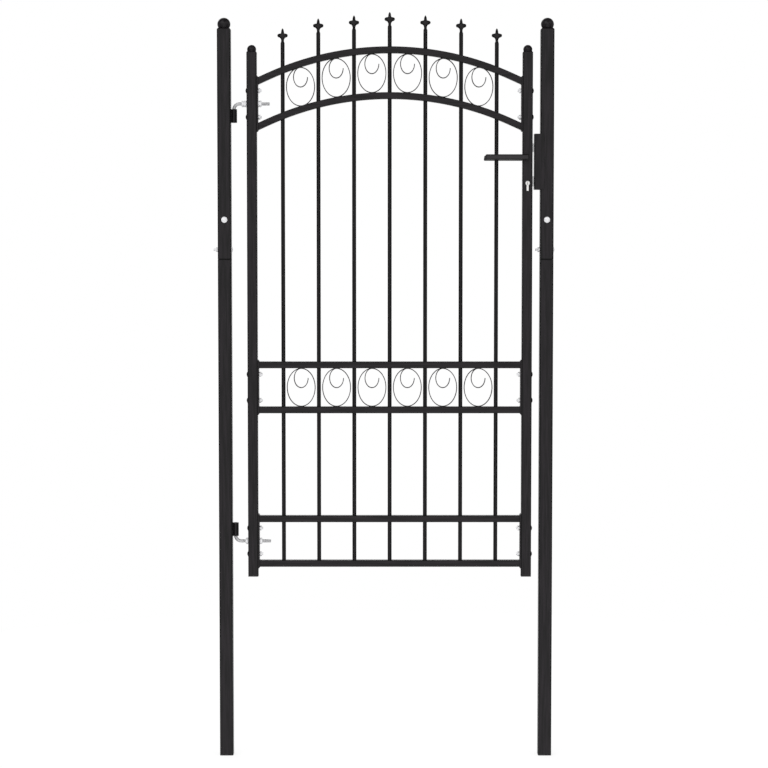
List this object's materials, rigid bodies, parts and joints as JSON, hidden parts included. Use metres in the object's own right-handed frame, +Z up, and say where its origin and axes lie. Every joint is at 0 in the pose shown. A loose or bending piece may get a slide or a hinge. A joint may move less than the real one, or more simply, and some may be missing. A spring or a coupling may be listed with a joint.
{
  "type": "single-leaf arched garden gate with posts",
  "caption": "Black steel garden gate: an arched leaf of round bars with spear tips and oval scrolls, hung on square posts, with a lever lock.",
  "frame": {"origin": "middle of the flat foot of the hinge post", "axes": "+X along the shut gate from the hinge post to the latch post, +Y from the front of the gate to its back, +Z up the posts"},
  "size_m": [1.0179, 0.096, 2.2282],
  "materials": {
    "black_powder_coat": "satin",
    "black_plastic": "satin",
    "zinc_plate": "satin"
  },
  "bodies": {
    "posts": {"hinge_post_lower": "black_powder_coat", "hinge_post_upper": "black_powder_coat", "hinge_post_cap": "black_plastic", "latch_post_lower": "black_powder_coat", "latch_post_upper": "black_powder_coat", "latch_post_cap": "black_plastic", "post_sleeves": "black_powder_coat", "post_foot_plugs": "black_plastic", "post_bolts": "zinc_plate", "upper_hinge_barrel": "black_powder_coat", "lower_hinge_barrel": "black_powder_coat", "strike_box": "black_powder_coat"},
    "leaf": {"hinge_stile": "black_powder_coat", "latch_stile": "black_powder_coat", "stile_caps": "black_plastic", "stile_foot_plugs": "black_plastic", "rail_end_plates": "black_powder_coat", "bottom_lower_rail": "black_powder_coat", "bottom_upper_rail": "black_powder_coat", "middle_lower_rail": "black_powder_coat", "middle_upper_rail": "black_powder_coat", "lower_arch_rail": "black_powder_coat", "upper_arch_rail": "black_powder_coat", "bar_1": "black_powder_coat", "bar_2": "black_powder_coat", "bar_3": "black_powder_coat", "bar_4": "black_powder_coat", "bar_5": "black_powder_coat", "bar_6": "black_powder_coat", "bar_7": "black_powder_coat", "finials": "black_powder_coat", "middle_scrolls": "black_powder_coat", "upper_scrolls": "black_powder_coat", "stile_bolts": "zinc_plate", "upper_hinge_bolt": "zinc_plate", "lower_hinge_bolt": "zinc_plate", "hinge_nuts": "zinc_plate", "lock_case": "zinc_plate", "lock_forend": "zinc_plate", "lock_cylinder": "zinc_plate"},
    "lever": {"lever_front": "black_powder_coat", "lever_back": "black_powder_coat", "lever_spindle": "zinc_plate"},
    "latch": {"latch_bolt": "zinc_plate"},
    "deadbolt": {"dead_bolt": "zinc_plate"}
  },
  "joints": [
    {"name": "gate_swing", "type": "hinge", "parent": "posts", "child": "leaf", "pos_m": [0.029, 0, 1.9571], "axis": [0, 0, 1], "range_deg": [-90, 90]},
    {"name": "lever_turn", "type": "hinge", "parent": "leaf", "child": "lever", "pos_m": [0.897, 0, 1.7984], "axis": [0, -1, 0], "range_deg": [0, 40], "stiffness_Nm_per_rad": 1, "springref_deg": -28.65},
    {"name": "latch_slide", "type": "slide", "parent": "leaf", "child": "latch", "axis": [1, 0, 0], "range_m": [0, 0.01]},
    {"name": "dead_bolt_slide", "type": "slide", "parent": "leaf", "child": "deadbolt", "axis": [1, 0, 0], "range_m": [0, 0.008]}
  ]
}
